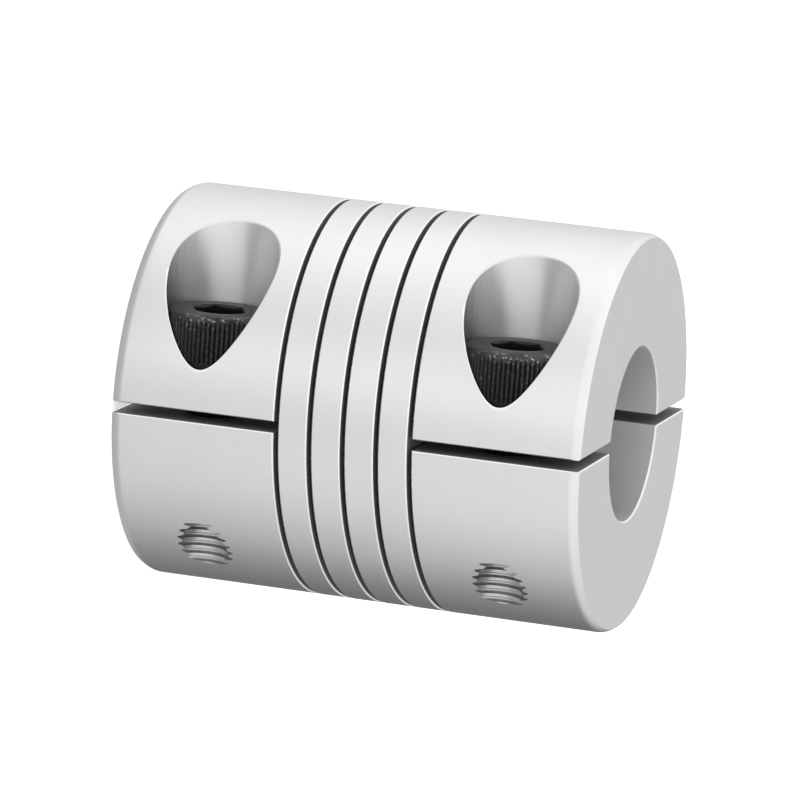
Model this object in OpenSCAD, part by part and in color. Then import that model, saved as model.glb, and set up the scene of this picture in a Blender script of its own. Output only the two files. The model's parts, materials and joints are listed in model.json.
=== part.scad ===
// One-piece helical-beam clamp coupling for two shafts of the same size.
// It stands on one end: the shaft axis is +Z and the origin is the centre of the lower end face.
// The clamp slot lies in the plane x = 0, and both screws are on the -Y side with their heads toward -X.

/* [Body] */
// outside diameter of the turned body
outer_d = 25; // [24:0.5:28]
// length over both end faces
length = 30; // [29:0.5:34]
// length of the chamfer on the outer edge of each end, along the body
end_chamfer_l = 0.5; // [0.3:0.1:0.8]
// width of that chamfer, on the end face
end_chamfer_w = 0.25; // [0.15:0.05:0.4]
// shaft bore of both hubs
bore_d = 11; // [8:0.5:11]
// chamfer at each mouth of the bore
bore_chamfer = 0.1; // [0.1:0.05:0.4]
// depth of each hub bore, measured from its end face
hub_bore_depth = 9.4; // [8:0.2:9.6]
// extra radius of the bore between the hubs, which keeps the coils off the shafts
relief = 0.25; // [0.15:0.05:0.5]

/* [Helical cut] */
// advance of the right-hand cut in one turn
cut_pitch = 2.14; // [2:0.02:2.2]
// width of the cut along the axis
cut_width = 0.3; // [0.25:0.05:0.5]
// whole turns of the cut on each side of the middle
half_turns = 2; // [1:1:2]
// angle that the cut runs on past its last whole turn, at each end
runout_angle = 120; // [90:5:140]

/* [Clamp slots] */
// width of the slot that opens each hub across its diameter
slot_width = 0.7; // [0.5:0.1:1]

/* [Clamp screws] */
// thread diameter of the socket head cap screws
thread_d = 4; // [3:0.5:4]
// length of the screw under its head
screw_length = 8; // [7:1:8]
// head diameter
head_d = 6.6; // [6:0.2:6.8]
// head height
head_h = 4; // [3:0.5:4]
// chamfer on the top edge of the head
head_chamfer = 0.2; // [0.2:0.05:0.5]
// width across flats of the hexagon socket
key_width = 3; // [2:0.5:3]
// depth of the hexagon socket
key_depth = 2; // [1.5:0.25:2.25]
// chamfer at the tip of the screw
tip_chamfer = 0.5; // [0.3:0.1:0.7]

/* [Screw seats] */
// distance of each screw from its end face
screw_inset = 5.4; // [5:0.1:6]
// level of the head's seat above the middle of the slot
seat_level = 2.2; // [2:0.1:2.8]
// wall left between the counterbore and the outer surface, at the tip of its opening
rim_wall = 0.35; // [0.2:0.05:0.5]
// space around the head in its counterbore, on the radius
head_gap = 0.1; // [0.1:0.05:0.2]
// space around the screw in its clearance hole, on the radius
clearance_gap = 0.25; // [0.1:0.05:0.3]
// space around the smooth screw in the smooth tapped hole, on the radius
thread_gap = 0.05; // [0.02:0.01:0.1]

/* [Hidden] */
outer_r = outer_d / 2;
bore_r = bore_d / 2;
middle = length / 2;
counterbore_r = head_d / 2 + head_gap;
screw_offset = outer_r - rim_wall - counterbore_r;
screw_heights = [screw_inset, length - screw_inset];
// The slots reach the first and the last pass of the cut on the -Y side.
slot_depth = middle - half_turns * cut_pitch;
// The cut starts and ends on the +Y side, measured as an angle from its pass at the middle of the -Y side.
cut_reach = half_turns * 360 + runout_angle;
steps_per_turn = 36;
cut_steps = ceil(2 * cut_reach / 360 * steps_per_turn);
socket_point_angle = 120;
// Overlap of a cutting shape beyond the surface that it opens.
over = 1;
$fn = 96;

// Half section of the turned body: chamfered outside, with a hub bore at each end and a relief between them.
module turned_blank() {
    rotate_extrude()
        polygon([
            [bore_r + bore_chamfer, 0],
            [outer_r - end_chamfer_w, 0],
            [outer_r, end_chamfer_l],
            [outer_r, length - end_chamfer_l],
            [outer_r - end_chamfer_w, length],
            [bore_r + bore_chamfer, length],
            [bore_r, length - bore_chamfer],
            [bore_r, length - hub_bore_depth],
            [bore_r + relief, length - hub_bore_depth],
            [bore_r + relief, hub_bore_depth],
            [bore_r, hub_bore_depth],
            [bore_r, bore_chamfer]
        ]);
}

// One corner of the cut's rectangular section after a number of steps along the helix.
function cut_corner(step, radius, side) =
    let (turned = -cut_reach + 2 * cut_reach * step / cut_steps)
    [
        radius * sin(turned),
        -radius * cos(turned),
        middle + cut_pitch * turned / 360 + side * cut_width / 2
    ];

// Thin ribbon that winds around the axis, from inside the bore to outside the body.
module helical_cutter() {
    inside = bore_r - over;
    outside = outer_r + over;
    corners = [
        for (step = [0 : cut_steps])
            each [
                cut_corner(step, inside, -1),
                cut_corner(step, outside, -1),
                cut_corner(step, outside, 1),
                cut_corner(step, inside, 1)
            ]
    ];
    last = 4 * cut_steps;
    sides = [
        for (step = [0 : cut_steps - 1])
            for (edge = [0 : 3])
                let (
                    here = 4 * step + edge,
                    beside = 4 * step + (edge + 1) % 4
                )
                each [
                    [here, beside, beside + 4],
                    [here, beside + 4, here + 4]
                ]
    ];
    ends = [[3, 2, 1, 0], [last, last + 1, last + 2, last + 3]];
    polyhedron(points = corners, faces = concat(sides, ends), convexity = 10);
}

// Saw slot across the whole diameter, from one end face to the helical cut.
module clamp_slot() {
    translate([-slot_width / 2, -outer_r - over, -over])
        cube([slot_width, 2 * (outer_r + over), slot_depth + over]);
}

// Everything bored along one screw: counterbore and clearance hole on the head side, tapped hole beyond.
module screw_bores() {
    translate([-outer_r - over, 0, 0])
        rotate([0, 90, 0])
            cylinder(r = counterbore_r, h = outer_r + over - seat_level);
    translate([-outer_r, 0, 0])
        rotate([0, 90, 0])
            cylinder(r = thread_d / 2 + clearance_gap, h = outer_r);
    rotate([0, 90, 0])
        cylinder(r = thread_d / 2 + thread_gap, h = outer_r + over);
}

// Turned aluminium body in one piece: two clamp hubs joined by the coils that the cut leaves.
module coupling_body() {
    color([0.83, 0.83, 0.82])
        difference() {
            turned_blank();
            clamp_slot();
            translate([0, 0, length])
                mirror([0, 0, 1])
                    clamp_slot();
            for (height = screw_heights)
                translate([0, -screw_offset, height])
                    screw_bores();
            helical_cutter();
        }
}

// Black socket head cap screw along +X: its seat is at x = 0 and its thread is a smooth shank.
module cap_screw() {
    color([0.13, 0.13, 0.14])
        rotate([0, 90, 0])
            difference() {
                union() {
                    translate([0, 0, head_chamfer - head_h])
                        cylinder(d = head_d, h = head_h - head_chamfer);
                    translate([0, 0, -head_h])
                        cylinder(d1 = head_d - 2 * head_chamfer, d2 = head_d, h = head_chamfer);
                    cylinder(d = thread_d, h = screw_length - tip_chamfer);
                    translate([0, 0, screw_length - tip_chamfer])
                        cylinder(d1 = thread_d, d2 = thread_d - 2 * tip_chamfer, h = tip_chamfer);
                }
                translate([0, 0, -head_h - over])
                    key_hexagon(key_depth + over);
                translate([0, 0, key_depth - head_h])
                    socket_point();
            }
}

// Hexagon of the socket, with two corners in line with the coupling's axis.
module key_hexagon(depth) {
    cylinder(r = key_width / 2 / cos(30), h = depth, $fn = 6);
}

// Drill point at the bottom of the socket.
module socket_point() {
    point_r = key_width / 2;
    cylinder(r1 = point_r, r2 = 0, h = point_r / tan(socket_point_angle / 2));
}

module lower_clamp_screw() {
    translate([-seat_level, -screw_offset, screw_heights[0]])
        cap_screw();
}

module upper_clamp_screw() {
    translate([-seat_level, -screw_offset, screw_heights[1]])
        cap_screw();
}

coupling_body();
lower_clamp_screw();
upper_clamp_screw();
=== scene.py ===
# %% [markdown]
# # A helical-beam clamp coupling
# This lesson dresses a small aluminium shaft coupling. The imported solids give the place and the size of
# everything, and this script models the same three pieces again with the detail that a camera sees: broken
# edges, threads, knurls and the marks of each tool.

# %% Load the solids and keep their box
import json
import math

import bmesh
import bpy
from mathutils import Matrix, Vector

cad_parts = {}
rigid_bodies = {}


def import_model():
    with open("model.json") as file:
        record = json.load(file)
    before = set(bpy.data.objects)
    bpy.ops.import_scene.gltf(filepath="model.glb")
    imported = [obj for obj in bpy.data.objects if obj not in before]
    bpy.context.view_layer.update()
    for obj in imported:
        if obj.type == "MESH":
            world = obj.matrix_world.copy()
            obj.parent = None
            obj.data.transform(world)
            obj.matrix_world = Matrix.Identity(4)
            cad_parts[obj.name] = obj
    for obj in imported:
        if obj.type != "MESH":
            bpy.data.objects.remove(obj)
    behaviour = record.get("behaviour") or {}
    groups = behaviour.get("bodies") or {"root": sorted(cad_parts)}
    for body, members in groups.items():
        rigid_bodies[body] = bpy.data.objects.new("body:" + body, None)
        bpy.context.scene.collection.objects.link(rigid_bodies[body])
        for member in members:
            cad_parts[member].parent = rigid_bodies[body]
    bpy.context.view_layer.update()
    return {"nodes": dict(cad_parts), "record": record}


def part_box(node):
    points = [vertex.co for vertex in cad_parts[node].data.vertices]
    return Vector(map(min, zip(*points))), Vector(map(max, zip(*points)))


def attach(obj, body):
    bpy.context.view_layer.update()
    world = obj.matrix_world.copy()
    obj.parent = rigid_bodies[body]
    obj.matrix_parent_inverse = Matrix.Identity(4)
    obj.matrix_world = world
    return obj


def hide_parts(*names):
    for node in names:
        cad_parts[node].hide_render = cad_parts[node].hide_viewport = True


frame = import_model()
scene = bpy.context.scene
print("nodes:", sorted(frame["nodes"]))

# %% [markdown]
# ## Sizes
# A coupling is easier to think about in millimetres, and small numbers also suit the cutting operations.
# Every piece is modelled in millimetres and scaled to metres when it is finished. What the solids can tell
# is measured on them: the body's radius and length, and where each screw lies. The record's mounts give the
# radius and the depth of the bores.

# %% Read the driving sizes from the solids
MM = 0.001


def box_in_mm(node):
    low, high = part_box(node)
    return low / MM, high / MM


body_low, body_high = box_in_mm("coupling_body")
outer_r = (body_high.x - body_low.x) / 2
length = body_high.z - body_low.z
middle = length / 2

bore_dims = frame["record"]["mounts"][0]["dims"]
bore_r = bore_dims["r_mm"]
bore_chamfer = 0.1
hub_depth = bore_dims["length_mm"] + bore_chamfer

screw_low, screw_high = box_in_mm("lower_clamp_screw")
screw_y = (screw_low.y + screw_high.y) / 2
screw_inset = (screw_low.z + screw_high.z) / 2
screw_heights = [screw_inset, length - screw_inset]
head_r = (screw_high.y - screw_low.y) / 2
head_gap = 0.1
counterbore_r = head_r + head_gap
head_h = 4.0
head_top_x = screw_low.x
seat_x = head_top_x + head_h
tip_x = screw_high.x
print(f"body {2 * outer_r:.1f} x {length:.1f} mm, bore {2 * bore_r:.1f} mm, screws at y = {screw_y:.2f} mm")

# %% [markdown]
# ## A shorthand for shader maths
# Node graphs are easier to read as formulas. `Socket` wraps one output of a node, and an expression such as
# `1 - grain * 0.2` adds the Math nodes that it stands for. `Finish.node` makes any other node from its
# type, its settings and the values or links of its inputs.


# %% Wrap sockets so that formulas make Math nodes
class Socket:
    def __init__(self, finish, output):
        self.finish = finish
        self.output = output

    def beside(self, name):
        return Socket(self.finish, self.output.node.outputs[name])

    def math(self, operation, *values):
        return self.finish.node("ShaderNodeMath", {"operation": operation}, dict(enumerate(values)))

    def __add__(self, other):
        return self.math("ADD", self, other)

    def __radd__(self, other):
        return self.math("ADD", other, self)

    def __sub__(self, other):
        return self.math("SUBTRACT", self, other)

    def __rsub__(self, other):
        return self.math("SUBTRACT", other, self)

    def __mul__(self, other):
        return self.math("MULTIPLY", self, other)

    def __rmul__(self, other):
        return self.math("MULTIPLY", other, self)

    def __abs__(self):
        return self.math("ABSOLUTE", self)

    def root(self):
        return self.math("SQRT", self)

    def above(self, low, high):
        settings = {"interpolation_type": "SMOOTHSTEP"}
        inputs = {"Value": self, "From Min": low, "From Max": high}
        return self.finish.node("ShaderNodeMapRange", settings, inputs)


def set_stops(ramp, stops):
    while len(ramp.elements) < len(stops):
        ramp.elements.new(0.5)
    for element, (position, level) in zip(ramp.elements, stops):
        element.position = position
        element.color = (level, level, level, 1.0)


class Finish:
    def __init__(self, tree):
        self.tree = tree

    def node(self, kind, settings=None, inputs=None, output=0):
        new = self.tree.nodes.new(kind)
        for name, value in (settings or {}).items():
            if name == "stops":
                set_stops(new.color_ramp, value)
            else:
                setattr(new, name, value)
        self.feed(new, inputs or {})
        return Socket(self, new.outputs[output])

    def feed(self, node, inputs):
        for name, value in inputs.items():
            if isinstance(value, Socket):
                self.tree.links.new(value.output, node.inputs[name])
            else:
                node.inputs[name].default_value = value

    def split(self, vector):
        x = self.node("ShaderNodeSeparateXYZ", inputs={0: vector})
        return x, x.beside("Y"), x.beside("Z")

    def place_mm(self):
        place = self.node("ShaderNodeTexCoord", output="Object")
        scaled = self.node("ShaderNodeVectorMath", {"operation": "SCALE"}, {0: place, "Scale": 1 / MM})
        return scaled, *self.split(scaled)

    def vector(self, x, y, z):
        return self.node("ShaderNodeCombineXYZ", inputs={"X": x, "Y": y, "Z": z})

    def noise(self, place, scale, detail=2.0, roughness=0.5):
        inputs = {"Vector": place, "Scale": scale, "Detail": detail, "Roughness": roughness}
        return self.node("ShaderNodeTexNoise", inputs=inputs)

    def grey(self, tone, blue=1.0):
        return self.node("ShaderNodeCombineColor", inputs={"Red": tone, "Green": tone, "Blue": tone * blue})

    def blend(self, amount, first, second):
        inputs = {"Factor": amount, 6: first, 7: second}
        return self.node("ShaderNodeMix", {"data_type": "RGBA"}, inputs, output=2)

    def bump(self, height, depth_mm):
        return self.node("ShaderNodeBump", inputs={"Height": height, "Distance": depth_mm * MM})


def new_finish(name):
    material = bpy.data.materials.new(name)
    material.use_nodes = True
    return material, Finish(material.node_tree), material.node_tree.nodes["Principled BSDF"]


print("shader shorthand ready")

# %% [markdown]
# ## Aluminium, tool by tool
# The body is one block of aluminium, but each tool leaves its own surface. The lathe leaves fine rings,
# which run around the axis on the side and on the end faces, and a light blast softens them. In a formula
# the rings are noise that depends only on the radius and the height, so one finish suits the side, the ends
# and the rounded edges. A slower noise lets the tone drift a little, as it does on real metal. Around the
# mouth of each counterbore, except at its top, a narrow band of the skin is painted brighter: a painted
# highlight for the bright line along the rim.

# %% Make the turned skin
# Width and reach of the painted highlight beside each counterbore's rim.
rim_highlight_width = (0.03, 0.07)
rim_highlight_top_x = (-9.5, -7.5)
rim_highlight_bottom_x = (-2.6, -1.5)


def turned_aluminium():
    material, finish, shader = new_finish("turned_aluminium")
    place, x, y, z = finish.place_mm()
    radius = (x * x + y * y).root()
    rings = finish.noise(finish.vector(radius, z, 0.0), 7.0, detail=4.0, roughness=0.7)
    grain = finish.noise(place, 14.0, detail=3.0, roughness=0.6)
    cloud = finish.noise(place, 0.25, detail=1.0)
    across = y - screw_y
    along = abs(z - middle) - (middle - screw_inset)
    from_screw = (across * across + along * along).root()
    near_bore = 1 - from_screw.above(counterbore_r + rim_highlight_width[0], counterbore_r + rim_highlight_width[1])
    # Painted highlight: the skin is brightened in a thin band along each counterbore's rim, except at the
    # top of the mouth.
    painted_rim_highlight = near_bore * x.above(*rim_highlight_top_x) * (1 - x.above(*rim_highlight_bottom_x))
    tone = 0.82 + cloud * 0.05 + (grain - 0.5) * 0.06 + (rings - 0.5) * 0.05 + painted_rim_highlight * 0.14
    finish.feed(shader, {
        "Base Color": finish.grey(tone, blue=0.99),
        "Metallic": 1.0,
        "Roughness": 0.36 + (rings - 0.5) * 0.06 + (grain - 0.5) * 0.1,
        "Normal": finish.bump(grain * 0.7 + rings * 0.3, 0.001),
    })
    return material


turned = turned_aluminium()
print("finish:", turned.name)

# %% [markdown]
# The other cuts share one recipe and differ in tone and gloss. An end mill leaves fine marks around a wall,
# which stretch its highlights, so that finish is anisotropic. A boring bar leaves an even satin. The saw
# leaves a dull face, and its dark tone is painted shade for the inside of the narrow cuts. A tapped hole is
# glossier than a bore, and its darker tone is painted shade for the inside of the thread. Rubbed edges are
# the smoothest and the brightest.


# %% Make the finishes of the cuts
def cut_aluminium(name, tone_level, roughness, metallic=1.0, anisotropic=0.0):
    material, finish, shader = new_finish(name)
    place, _, _, _ = finish.place_mm()
    grain = finish.noise(place, 9.0, detail=3.0, roughness=0.6)
    tone = tone_level * (0.94 + grain * 0.12)
    finish.feed(shader, {
        "Base Color": finish.grey(tone, blue=0.99),
        "Metallic": metallic,
        "Roughness": roughness + (grain - 0.5) * 0.1,
        "Specular IOR Level": 0.1,
        "Anisotropic": anisotropic,
        "Normal": finish.bump(grain, 0.001),
    })
    return material


milled = cut_aluminium("milled_aluminium", 0.86, 0.44, metallic=0.97, anisotropic=0.8)
bored = cut_aluminium("bored_aluminium", 0.86, 0.45)
# Painted shade: the sawn faces get a dark tone for the shade inside the narrow cuts; their dullness is the
# saw's own.
sawn = cut_aluminium("sawn_aluminium", 0.28, 0.60, metallic=0.6)
# Painted shade: the tapped holes get a darker tone for the shade inside the thread.
tapped = cut_aluminium("tapped_aluminium", 0.55, 0.30, metallic=0.88)
burnished = cut_aluminium("burnished_edge", 0.95, 0.24)
print("finishes:", [finish.name for finish in (milled, bored, sawn, tapped, burnished)])

# %% [markdown]
# ## Modelling helpers
# A few moves make nearly every shape here. `turned_shape` spins a half section right round an axis, as a
# lathe does. `wound_shape` spins a small section while it climbs, which gives helical cuts and threads.
# `extruded` pushes a flat outline in a straight line, and `drilled` is the round or six-sided plug that a
# drill or a broach sweeps out. Each returns a bmesh, so the shape can still be turned and moved.


# %% Define the shapes that tools sweep out
def turned_shape(half_section, steps):
    bm = bmesh.new()
    corners = [bm.verts.new((r, 0, z)) for r, z in half_section]
    for first, second in zip(corners, corners[1:] + corners[:1]):
        bm.edges.new((first, second))
    bmesh.ops.spin(
        bm, geom=bm.verts[:] + bm.edges[:], cent=(0, 0, 0), axis=(0, 0, 1),
        angle=math.tau, steps=steps, use_merge=True,
    )
    return bm


def wound_shape(section, turns, pitch, steps_per_turn):
    bm = bmesh.new()
    face = bm.faces.new([bm.verts.new((r, 0, z)) for r, z in section])
    steps = round(turns * steps_per_turn)
    bmesh.ops.spin(
        bm, geom=[face] + face.edges[:] + face.verts[:], cent=(0, 0, 0), axis=(0, 0, 1),
        dvec=(0, 0, pitch * turns / steps), angle=math.tau * turns, steps=steps,
    )
    return bm


def extruded(outline, depth):
    bm = bmesh.new()
    face = bm.faces.new([bm.verts.new(point) for point in outline])
    pushed = bmesh.ops.extrude_face_region(bm, geom=[face])["geom"]
    moved = [part for part in pushed if isinstance(part, bmesh.types.BMVert)]
    bmesh.ops.translate(bm, verts=moved, vec=depth)
    return bm


def drilled(radius, x_start, x_end, y, z, x_end_radius=None, segments=144):
    bm = bmesh.new()
    end_radius = radius if x_end_radius is None else x_end_radius
    place = Matrix.Translation(((x_start + x_end) / 2, y, z)) @ Matrix.Rotation(math.pi / 2, 4, "Y")
    bmesh.ops.create_cone(
        bm, cap_ends=True, segments=segments, radius1=radius, radius2=end_radius,
        depth=x_end - x_start, matrix=place,
    )
    return bm


def turn(bm, angle, axis, centre=(0, 0, 0)):
    bmesh.ops.rotate(bm, verts=bm.verts[:], cent=centre, matrix=Matrix.Rotation(angle, 3, axis))


def move(bm, x=0.0, y=0.0, z=0.0):
    bmesh.ops.translate(bm, verts=bm.verts[:], vec=(x, y, z))


def made(bm, name, *materials):
    bmesh.ops.remove_doubles(bm, verts=bm.verts[:], dist=1e-4)
    bmesh.ops.recalc_face_normals(bm, faces=bm.faces[:])
    mesh = bpy.data.meshes.new(name)
    for material in materials:
        mesh.materials.append(material)
    bm.to_mesh(mesh)
    bm.free()
    piece = bpy.data.objects.new(name, mesh)
    scene.collection.objects.link(piece)
    return piece


print("shape helpers ready")

# %% [markdown]
# A Boolean modifier takes one shape away from another. Its exact solver copes with faces that only just
# touch, and in its transfer mode the cut faces bring the tool's material along, so every cut arrives
# already finished.


# %% Define the cut
def boolean(piece, tool, operation="DIFFERENCE"):
    modifier = piece.modifiers.new("cut", "BOOLEAN")
    modifier.object = tool
    modifier.operation = operation
    modifier.solver = "EXACT"
    modifier.material_mode = "TRANSFER"
    result = piece.evaluated_get(bpy.context.evaluated_depsgraph_get())
    piece.data = bpy.data.meshes.new_from_object(result)
    piece.modifiers.clear()
    bpy.data.objects.remove(tool)
    print(f"{piece.name}: {len(piece.data.polygons)} faces after {operation.lower()}")


print("cutting helper ready")

# %% [markdown]
# ## The blank
# The coupling starts as a piece of bar: turned to its diameter, cut to length, broken at both outer edges
# and bored through. The light fades gently over those edges, so they are rounded here in a few small steps,
# which the smooth shading blends. Between the two hubs the bore is a little wider, so that the coils can't
# rub on the shafts. The number of steps around is chosen so that the rounded rims of the counterbores, which
# come later, don't run across an edge between two strips.

# %% Turn the blank
round_length = 0.65
round_depth = 0.25
round_steps = 6
steps_around = 340
relief = 0.25
relief_r = bore_r + relief
surface_gap = 0.01


def mark_bore(bm):
    for face in bm.faces:
        if all(math.hypot(vert.co.x, vert.co.y) < relief_r + surface_gap for vert in face.verts):
            face.material_index = 1


round_shares = [step / round_steps for step in range(round_steps + 1)]
rounded_edge = [(outer_r - round_depth * (1 - share) ** 2, round_length * share) for share in round_shares]
lower_half_section = [
    (relief_r, middle),
    (relief_r, hub_depth),
    (bore_r, hub_depth),
    (bore_r, bore_chamfer),
    (bore_r + bore_chamfer, 0),
] + rounded_edge
half_section = lower_half_section + [(r, length - z) for r, z in reversed(lower_half_section[1:])]
blank = turned_shape(half_section, steps_around)
mark_bore(blank)
body = made(blank, "machined_body", turned, bored)
print("blank:", len(body.data.polygons), "faces")

# %% [markdown]
# ## The helical cut
# One thin right-hand cut winds four and two thirds times around the middle and leaves the coils that bend.
# Its section is a narrow rectangle that flares at the outer surface: the flare is the broken edge of the
# real cut, and it catches the light as a bright line on both sides of the dark gap. Every tool reaches a
# little past the surface that it opens.

# %% Wind the cutter and cut the coils
over = 1.0
cut_pitch = 2.14
cut_width = 0.3
half_turns = 2
runout_turns = 120 / 360
edge_break = 0.07
past = 0.3
cut_turns = 2 * (half_turns + runout_turns)


def flared(half_width):
    return [
        (outer_r - edge_break, half_width),
        (outer_r + past, half_width + edge_break + past),
    ]


def mark_flares(bm):
    bm.normal_update()
    rim = outer_r - edge_break * 1.01
    for face in bm.faces:
        is_outside = all(math.hypot(vert.co.x, vert.co.y) > rim for vert in face.verts)
        if is_outside and abs(face.normal.x) < 0.95 and abs(face.normal.z) < 0.95:
            face.material_index = 1


upper_side = [(bore_r - over, cut_width / 2)] + flared(cut_width / 2)
lower_side = [(r, -z) for r, z in reversed(upper_side)]
cutter = wound_shape(upper_side + lower_side, cut_turns, cut_pitch, steps_per_turn=96)
turn(cutter, -math.pi / 2 - math.pi * cut_turns, "Z")
move(cutter, z=middle - cut_pitch * cut_turns / 2)
mark_flares(cutter)
boolean(body, made(cutter, "helical_cutter", sawn, burnished))

# %% [markdown]
# ## The clamp slots
# A saw opens each hub across its whole diameter, as far as the helical cut. The outline of the blade flares
# at the outer surface like the other cutter, and a second, shallow V breaks the slot's edges on the end
# face.

# %% Saw both hubs open
slot_width = 0.7
slot_depth = middle - half_turns * cut_pitch


def slot_blade():
    corner = flared(slot_width / 2)
    right = [(x, -y, -over) for y, x in reversed(corner)] + [(x, y, -over) for y, x in corner]
    left = [(-x, y, z) for x, y, z in reversed(right)]
    return extruded(right + left, (0, 0, slot_depth + over))


def slot_mouth():
    reach = outer_r + over
    wide = slot_width / 2 + edge_break + past
    outline = [
        (slot_width / 2, -reach, edge_break),
        (wide, -reach, -past),
        (-wide, -reach, -past),
        (-slot_width / 2, -reach, edge_break),
    ]
    return extruded(outline, (0, 2 * reach, 0))


for at_top in (False, True):
    for tool, name in ((slot_blade(), "slot_blade"), (slot_mouth(), "slot_mouth")):
        if at_top:
            turn(tool, math.pi, "Y", centre=(0, 0, middle))
        if name == "slot_blade":
            mark_flares(tool)
            boolean(body, made(tool, name, sawn, burnished))
        else:
            boolean(body, made(tool, name, burnished))

# %% [markdown]
# ## Screw holes
# Each screw needs three bores on one line: a counterbore for the head, a clearance hole in the same jaw and
# a tapped hole in the other jaw. Because the counterbore enters a round surface near its edge, its mouth is
# a teardrop. The thread is a helical groove: a small V section, wound at the pitch of the thread. The groove
# gets a little play, and the screw's own ridge is made that much smaller.

# %% Bore the seats and tap the holes
thread_r = 1.75
thread_pitch = 0.5
depth_per_pitch = 0.6134
core_r = thread_r - depth_per_pitch * thread_pitch
ridge_foot_r = core_r - 0.15
clearance_r = 2.25
crest_half = thread_pitch / 16
root_half = thread_pitch * 7 / 16
thread_play = 0.01
pilot_play = 0.02


def thread_ridge(extra, turns, steps_per_turn=40):
    section = [
        (ridge_foot_r, -root_half - extra),
        (thread_r + extra, -crest_half - extra),
        (thread_r + extra, crest_half + extra),
        (ridge_foot_r, root_half + extra),
    ]
    ridge = wound_shape(section, turns, thread_pitch, steps_per_turn)
    turn(ridge, math.pi / 2, "Y")
    return ridge


for height in screw_heights:
    seat = drilled(counterbore_r, -outer_r - over, seat_x, screw_y, height)
    boolean(body, made(seat, "counterbore", milled))
    passage = drilled(clearance_r, seat_x - 0.5, 0.0, screw_y, height)
    boolean(body, made(passage, "clearance_hole", milled))
    pilot = drilled(core_r + pilot_play, -0.1, outer_r + over, screw_y, height)
    boolean(body, made(pilot, "tap_drill", tapped))
    tap = thread_ridge(thread_play, turns=(outer_r + 1.5) / thread_pitch)
    move(tap, x=seat_x + thread_pitch, y=screw_y, z=height)
    boolean(body, made(tap, "tap", tapped))

# %% [markdown]
# ## Broken edges
# No machined part keeps knife edges. The rims of the counterbores are found by their place, on the outer
# surface and at the counterbore's radius from the screw, and `bmesh.ops.bevel` rounds them. The lower part
# of each rim is rubbed bright, and the top keeps the milled finish. Then every edge that turns by more than
# a few degrees is marked sharp, so that round surfaces shade smoothly and the flats stay flat. An edge where
# the finish changes is sharp too, so that no shading bleeds from a rim onto the skin.

# %% Round the counterbores' rims and scale the body to metres
rim_break = 0.1
merge_gap = 0.0005
rim_merge_gap = 0.004
rubbed_from_x = -8.5


def on_rim(vert):
    x, y, z = vert.co
    reach = min(math.hypot(y - screw_y, z - height) for height in screw_heights)
    on_surface = abs(math.hypot(x, y) - outer_r) < surface_gap
    return x < 0 and on_surface and abs(reach - counterbore_r) < surface_gap


def smooth_and_scale(piece, sharp_angle):
    mesh = piece.data
    finishes = {}
    for polygon in mesh.polygons:
        polygon.use_smooth = True
        for key in polygon.edge_keys:
            finishes.setdefault(key, set()).add(polygon.material_index)
    mesh.set_sharp_from_angle(angle=math.radians(sharp_angle))
    for edge in mesh.edges:
        if len(finishes[edge.key]) > 1:
            edge.use_edge_sharp = True
    mesh.transform(Matrix.Scale(MM, 4))
    mesh.update()


bm = bmesh.new()
bm.from_mesh(body.data)
bmesh.ops.remove_doubles(bm, verts=bm.verts[:], dist=merge_gap)
bmesh.ops.dissolve_degenerate(bm, edges=bm.edges[:], dist=merge_gap)
rim_verts = [vert for vert in bm.verts if on_rim(vert)]
bmesh.ops.remove_doubles(bm, verts=rim_verts, dist=rim_merge_gap)
rim_edges = [edge for edge in bm.edges if all(on_rim(vert) for vert in edge.verts)]
rounded = bmesh.ops.bevel(
    bm, geom=rim_edges, offset=rim_break, offset_type="OFFSET", segments=3, profile=0.5,
    affect="EDGES", material=-1, clamp_overlap=False,
)
burnished_index = body.data.materials.find(burnished.name)
milled_index = body.data.materials.find(milled.name)
for face in rounded["faces"]:
    is_rubbed = face.calc_center_median().x > rubbed_from_x
    face.material_index = burnished_index if is_rubbed else milled_index
open_edges = sum(not edge.is_manifold for edge in bm.edges)
bm.to_mesh(body.data)
bm.free()
smooth_and_scale(body, sharp_angle=12)
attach(body, "root")
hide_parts("coupling_body")
print(f"body: {len(rim_edges)} rim edges rounded, {open_edges} open edges")

# %% [markdown]
# ## Black oxide
# The screws are steel with a black oxide skin: dark, a little glossy, and worn to grey metal where a key or
# a finger has rubbed. The wear sits on the handled side, at the head's top edge and around the mouth of the
# socket, and small flecks of it run down the ridges of the knurl. Painted shade darkens the side of the
# head, its flutes, its foot and the socket, and stains darken the top. Both screws lie alike on either side
# of the coupling's middle, so folding the height about the middle gives one formula for the distance from
# either axis.

# %% Make the screws' finish
oxide_tone = 0.024
worn_steel = (0.4, 0.39, 0.38, 1.0)
key_width = 3.05
key_depth = 2.0
key_corner_r = key_width / 2 / math.cos(math.pi / 6)


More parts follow.
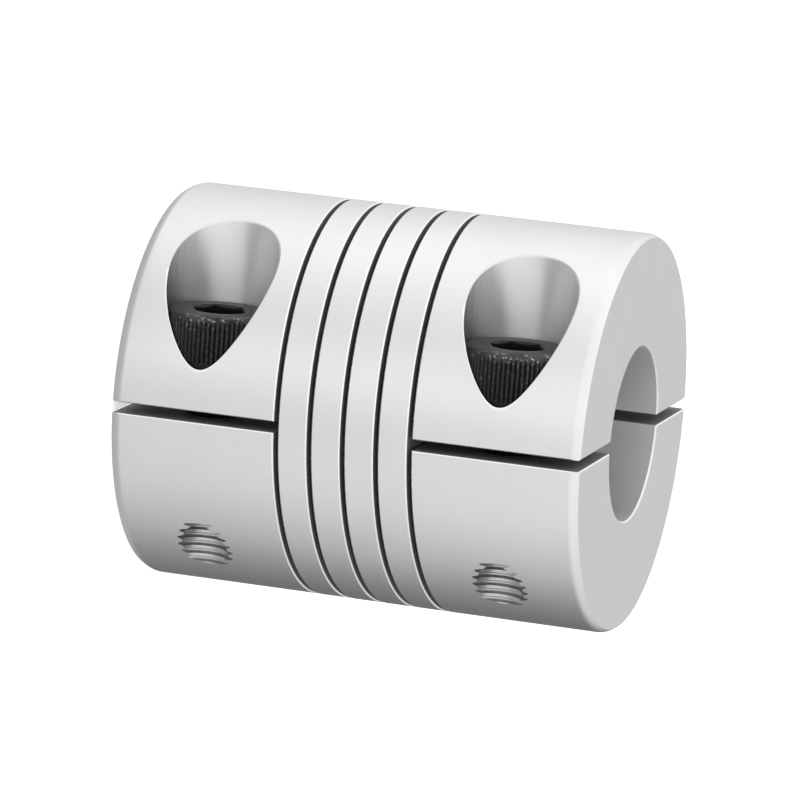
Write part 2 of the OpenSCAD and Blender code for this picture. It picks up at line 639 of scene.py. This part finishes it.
def black_oxide():
    material, finish, shader = new_finish("black_oxide_steel")
    place, x, y, z = finish.place_mm()
    across = y - screw_y
    along = abs(z - middle) - (middle - screw_inset)
    radius = (across * across + along * along).root()
    toward_upper_end = along * ((z - middle).above(-1.0, 1.0) * 2 - 1)
    handled = (toward_upper_end * 0.6 - across * 0.8).above(0.2, 2.6)
    grain = finish.noise(place, 14.0, detail=3.0, roughness=0.6)
    scratches = finish.noise(place, 5.0, detail=4.0, roughness=0.65)
    patches = finish.noise(place, 0.8, detail=2.0)
    depth = x - head_top_x
    near_top = 1 - depth.above(0.15, 0.8)
    near_rim = radius.above(head_r - 0.6, head_r - 0.2)
    near_mouth = 1 - abs(radius - key_corner_r).above(0.03, 0.3)
    rubbed = near_top * (near_rim + near_mouth * 0.6) * handled * patches.above(0.36, 0.55)
    worn = rubbed * scratches.above(0.55, 0.64)
    on_side = depth.above(0.02, 0.25)
    in_socket = (1 - radius.above(key_corner_r - 0.1, key_corner_r + 0.02)) * depth.above(0.05, 0.5)
    in_flute = on_side * (1 - radius.above(head_r - 0.12, head_r - 0.02))
    low_on_side = depth.above(1.0, 3.2)
    flecks = on_side * (1 - in_flute) * (0.4 + handled * 0.6) * scratches.above(0.54, 0.66)
    stained = (1 - on_side) * (1 - patches.above(0.38, 0.62))
    # Painted shade: knurl_shade darkens the head's side, its flutes and its foot, and the socket factor
    # darkens the socket's hollow, as if shaded in the counterbore. The flecks fade toward the foot with it.
    # Stains and grain are the oxide's own.
    knurl_shade = (1 - on_side * 0.36) * (1 - in_flute * 0.7) * (1 - low_on_side * 0.5)
    oxide_and_shade = oxide_tone * knurl_shade * (1 - in_socket * 0.8) * (1 - stained * 0.5) * (0.75 + grain * 0.5)
    tone = oxide_and_shade + rubbed * 0.03 + flecks * (1 - low_on_side * 0.6) * 0.06
    finish.feed(shader, {
        "Base Color": finish.blend(worn * 0.7, finish.grey(tone, blue=1.04), worn_steel),
        "Roughness": 0.42 - worn * 0.1 + in_flute * 0.2 + in_socket * 0.25 + (grain - 0.5) * 0.15,
        "Specular IOR Level": 0.2,
        "Normal": finish.bump(grain, 0.002),
    })
    return material


black = black_oxide()
print("screw finish:", black.name)

# %% [markdown]
# ## The clamp screws
# A socket head cap screw is forged and then its head is knurled. The head grows here by extruding a disc
# ring by ring, and each ring has a height, a radius and a depth for its flutes. Every third corner of the
# disc is the bottom of a flute: it moves inward in the knurled rings and stays out in the plain ones. The
# head is modelled upright, with its seat at the origin, and then laid along the X axis.

# %% Grow a knurled head
flutes = 69
flute_depth = 0.14


def ring_up(bm, face, height, radius, depth):
    is_first = all(len(edge.link_faces) == 1 for edge in face.edges)
    pushed = bmesh.ops.extrude_face_region(bm, geom=[face])["geom"]
    if not is_first:
        bmesh.ops.delete(bm, geom=[face], context="FACES_ONLY")
    top = next(part for part in pushed if isinstance(part, bmesh.types.BMFace))
    for vert in top.verts:
        corner = round(math.atan2(vert.co.y, vert.co.x) / math.tau * flutes * 3)
        inward = depth if corner % 3 == 2 else 0.0
        flat = vert.co.xy.normalized() * (radius - inward)
        vert.co = (flat.x, flat.y, height)
    return top


def knurled_head():
    bm = bmesh.new()
    bmesh.ops.create_circle(bm, cap_ends=True, segments=flutes * 3, radius=head_r - 0.25)
    face = bm.faces[:][0]
    rings = [
        (0.12, head_r - 0.12, 0.0),
        (0.35, head_r - 0.06, 0.0),
        (1.02, head_r - 0.06, 0.0),
        (1.18, head_r, flute_depth),
        (head_h - 0.48, head_r, flute_depth),
        (head_h - 0.30, head_r - 0.02, 0.05),
        (head_h - 0.16, head_r - 0.10, 0.0),
        (head_h - 0.05, head_r - 0.24, 0.0),
        (head_h, head_r - 0.40, 0.0),
    ]
    for height, radius, depth in rings:
        face = ring_up(bm, face, height, radius, depth)
    turn(bm, -math.pi / 2, "Y")
    move(bm, x=seat_x)
    return made(bm, "knurled_head", black)


print("head:", flutes, "flutes")

# %% [markdown]
# The hexagon socket is broached, and a countersink opens its mouth. The cone meets the six flats in six
# shallow arcs, which is the scalloped rim that a key slips into.

# %% Broach the socket
mouth_r = key_corner_r + 0.015
mouth_slope = math.tan(math.radians(60))


def broach(head):
    hexagon = drilled(key_corner_r, head_top_x - over, head_top_x + key_depth, 0, 0, segments=6)
    turn(hexagon, math.pi / 6, "X")
    boolean(head, made(hexagon, "key_hexagon", black))
    above = 0.5
    start_r = mouth_r + above * mouth_slope
    mouth = drilled(start_r, head_top_x - above, head_top_x + mouth_r / mouth_slope, 0, 0, x_end_radius=0.0)
    boolean(head, made(mouth, "socket_mouth", black))


print(f"socket: {key_width} mm key, {key_depth} mm deep")

# %% [markdown]
# The shank is a core with a ridge wound around it. The ridge has the same place and pitch as the groove
# that tapped the body, so the screw really does sit in its thread. A chamfered sleeve trims the ridge at the
# tip.

# %% Wind the thread and place both screws
tip_chamfer = 0.5
shank_l = tip_x - seat_x
shank_steps = 48


def threaded_shank():
    core_section = [(0, 0), (core_r, 0), (core_r, shank_l), (0, shank_l)]
    core = turned_shape(core_section, shank_steps)
    turn(core, math.pi / 2, "Y")
    shank = made(core, "threaded_shank", black)
    ridge = thread_ridge(-thread_play, turns=shank_l / thread_pitch)
    move(ridge, x=thread_pitch)
    boolean(shank, made(ridge, "thread_ridge", black), "UNION")
    sleeve_section = [
        (0, -0.01),
        (thread_r, -0.01),
        (thread_r, shank_l - tip_chamfer),
        (thread_r - tip_chamfer, shank_l),
        (0, shank_l),
    ]
    sleeve = turned_shape(sleeve_section, shank_steps)
    turn(sleeve, math.pi / 2, "Y")
    boolean(shank, made(sleeve, "tip_sleeve", black), "INTERSECT")
    shank.data.transform(Matrix.Translation((seat_x, 0, 0)))
    return shank


def clamp_screw(name, node, height):
    screw = knurled_head()
    broach(screw)
    boolean(screw, threaded_shank(), "UNION")
    screw.name = name
    screw.data.transform(Matrix.Translation((0, screw_y, height)))
    smooth_and_scale(screw, sharp_angle=25)
    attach(screw, "root")
    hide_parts(node)
    return screw


clamp_screw("lower_cap_screw", "lower_clamp_screw", screw_heights[0])
clamp_screw("upper_cap_screw", "upper_clamp_screw", screw_heights[1])

# %% [markdown]
# ## Camera
# The coupling stands on one end in its own frame, and the photograph shows it lying down, so the camera
# rolls: the screw heads' side, -X, is up in the picture and +Z points to the right.

# %% Place the camera
view_azimuth = math.radians(10.95)
view_elevation = math.radians(16.78)
view_roll = math.radians(4.04)
view_distance = 333.55
aim_shift = (0.288, -0.300)
focal_px = 5302.4
picture_px = 800

back = Vector((
    -math.cos(view_elevation) * math.sin(view_azimuth),
    -math.cos(view_elevation) * math.cos(view_azimuth),
    math.sin(view_elevation),
))
level_right = Vector((-1, 0, 0)).cross(back).normalized()
level_up = back.cross(level_right)
right = level_right * math.cos(view_roll) + level_up * math.sin(view_roll)
up = level_up * math.cos(view_roll) - level_right * math.sin(view_roll)
eye = Vector((0, 0, middle)) + back * view_distance - right * aim_shift[0] - up * aim_shift[1]

camera_data = bpy.data.cameras.new("photo_camera")
camera_data.sensor_width = 36.0
camera_data.lens = focal_px * camera_data.sensor_width / picture_px
camera_data.clip_start = 0.01
camera = bpy.data.objects.new("photo_camera", camera_data)
camera.matrix_world = Matrix.Translation(eye * MM) @ Matrix((right, up, back)).transposed().to_4x4()
scene.collection.objects.link(camera)
scene.camera = camera
print(f"camera {view_distance:.0f} mm from the middle, lens {camera_data.lens:.1f} mm")

# %% [markdown]
# ## Floor and light
# The floor is one large square under the coupling. It is white and glows a little, so that it stays white in
# the picture, and it still takes the coupling's shadow.

# %% Lay the floor
floor_half_size = 2.0

bm = bmesh.new()
bmesh.ops.create_grid(bm, x_segments=1, y_segments=1, size=floor_half_size)
floor_mesh = bpy.data.meshes.new("floor")
bm.to_mesh(floor_mesh)
bm.free()
floor = bpy.data.objects.new("floor", floor_mesh)
scene.collection.objects.link(floor)
floor_white, floor_finish, floor_shader = new_finish("white_floor")
floor_finish.feed(floor_shader, {
    "Base Color": (0.8, 0.8, 0.8, 1.0),
    "Roughness": 0.9,
    "Specular IOR Level": 0.0,
    "Emission Color": (1.0, 1.0, 1.0, 1.0),
    "Emission Strength": 0.55,
})
floor.data.materials.append(floor_white)
print("floor:", floor.name)

# %% [markdown]
# Two soft lamps light the black screws and the dull cuts, and throw the shadow on the floor. They stay out
# of reflections, because a lamp that is mirrored in a rounded edge would clip to white.

# %% Hang the lamps
lamp_aim = (0, 0, middle * MM)
lamp_size = 0.4


def soft_lamp(name, place, power):
    data = bpy.data.lights.new(name, "AREA")
    data.shape = "SQUARE"
    data.size = lamp_size
    data.energy = power
    lamp = bpy.data.objects.new(name, data)
    lamp.location = place
    lamp.rotation_euler = (Vector(lamp_aim) - Vector(place)).to_track_quat("-Z", "Y").to_euler()
    lamp.visible_glossy = False
    scene.collection.objects.link(lamp)
    return lamp


lamps = [
    soft_lamp("key_lamp", (-0.4, -0.25, 0.3), power=0.5),
    soft_lamp("fill_lamp", (0.1, -0.5, 0.4), power=0.3),
]
print("lamps:", [lamp.name for lamp in lamps])

# %% [markdown]
# Metal shows what surrounds it, so the world is painted like the inside of a photographer's tent. This
# camera looks down on the coupling's side, so the side mirrors the lower half of the tent all around it, and
# the floor keeps out of reflections. There the tone goes by the bearing, which starts behind the coupling
# and passes the tapped side, the front and the heads' side: dark at first, and bright toward the front and
# the heads. Straight down is a plain middle tone. The upper half is a gentler copy of the tones around, so
# that the end faces and the rounded edges shine without clipping to white.

# %% Paint the tent
bearing_stops = [
    (0.0, 0.06), (0.10, 0.08), (0.20, 0.23), (0.27, 0.515), (0.36, 0.825), (0.45, 0.90), (0.49, 0.78),
    (0.56, 1.20), (0.64, 0.90), (0.70, 1.06), (0.78, 1.27), (0.84, 1.15), (0.90, 0.96), (0.95, 0.77),
    (1.0, 0.72),
]
straight_down = 0.5
upper_base = 0.61
upper_share = 0.46

floor.visible_glossy = False
world = bpy.data.worlds.new("white_tent")
world.use_nodes = True
tent = Finish(world.node_tree)
toward = tent.node("ShaderNodeTexCoord", output="Generated")
toward_x, toward_y, toward_z = tent.split(toward)
bearing = toward_x.math("ARCTAN2", toward_x * -1, toward_y * -1) * (1 / math.tau) + 0.5
around = tent.node("ShaderNodeValToRGB", {"stops": bearing_stops}, {"Fac": bearing})
is_level = toward_z.above(-0.65, -0.3)
lower_half = straight_down + (around - straight_down) * is_level
upper_half = upper_base + upper_share * around
is_upper = toward_z.above(-0.1, 0.15)
tent_tone = tent.grey(lower_half + (upper_half - lower_half) * is_upper)
tent.feed(world.node_tree.nodes["Background"], {"Color": tent_tone, "Strength": 1.0})
scene.world = world
scene.view_settings.view_transform = "Standard"
print("tent:", len(bearing_stops), "tones around")

# %% [markdown]
# ## End

# %% Finish
print("script finished")
